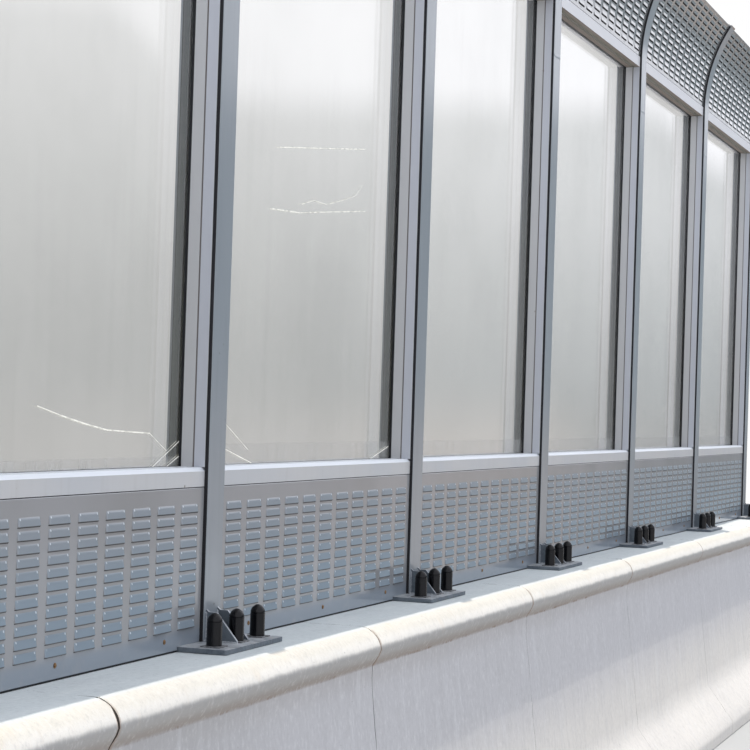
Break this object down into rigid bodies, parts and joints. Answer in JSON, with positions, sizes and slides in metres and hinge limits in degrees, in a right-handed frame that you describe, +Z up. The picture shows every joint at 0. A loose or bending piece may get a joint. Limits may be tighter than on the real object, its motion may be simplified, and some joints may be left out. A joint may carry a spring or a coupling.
{
  "type": "highway noise barrier",
  "caption": "Roadside noise barrier in bays on a concrete parapet: louvred absorbing panels below, framed clear panes, and curved louvred panels between H posts.",
  "frame": {"origin": "bottom centre of the whole barrier, on the road level under the parapet", "axes": "+X along the barrier, to the right as seen from the road; the road is on the -Y side; +Z up"},
  "size_m": [12.5, 0.83, 4.7184],
  "materials": {
    "concrete": "cast concrete, weathered",
    "post_steel": "satin grey paint",
    "base_steel": "mottled galvanised grey",
    "cap_rubber": "matt black",
    "panel_sheet": "satin grey coated sheet",
    "frame_aluminium": "pale satin, coated",
    "clear_pane": "clear with a faint green tint",
    "curved_sheet": "satin grey coated sheet",
    "seal_rubber": "matt black"
  },
  "bodies": {
    "root": {"parapet": "concrete", "base_plate_1": "base_steel", "base_plate_2": "base_steel", "base_plate_3": "base_steel", "base_plate_4": "base_steel", "base_plate_5": "base_steel", "base_plate_6": "base_steel", "base_plate_7": "base_steel", "post_1": "post_steel", "post_2": "post_steel", "post_3": "post_steel", "post_4": "post_steel", "post_5": "post_steel", "post_6": "post_steel", "post_7": "post_steel", "anchor_caps": "cap_rubber", "anchor_washers": "base_steel", "lower_panel_1": "panel_sheet", "lower_panel_2": "panel_sheet", "lower_panel_3": "panel_sheet", "lower_panel_4": "panel_sheet", "lower_panel_5": "panel_sheet", "lower_panel_6": "panel_sheet", "glazing_frame_1": "frame_aluminium", "glazing_frame_2": "frame_aluminium", "glazing_frame_3": "frame_aluminium", "glazing_frame_4": "frame_aluminium", "glazing_frame_5": "frame_aluminium", "glazing_frame_6": "frame_aluminium", "pane_1": "clear_pane", "pane_2": "clear_pane", "pane_3": "clear_pane", "pane_4": "clear_pane", "pane_5": "clear_pane", "pane_6": "clear_pane", "curved_panel_1": "curved_sheet", "curved_panel_2": "curved_sheet", "curved_panel_3": "curved_sheet", "curved_panel_4": "curved_sheet", "curved_panel_5": "curved_sheet", "curved_panel_6": "curved_sheet", "glazing_strips": "seal_rubber", "upright_seals": "seal_rubber", "bed_seals": "seal_rubber"}
  },
  "joints": []
}
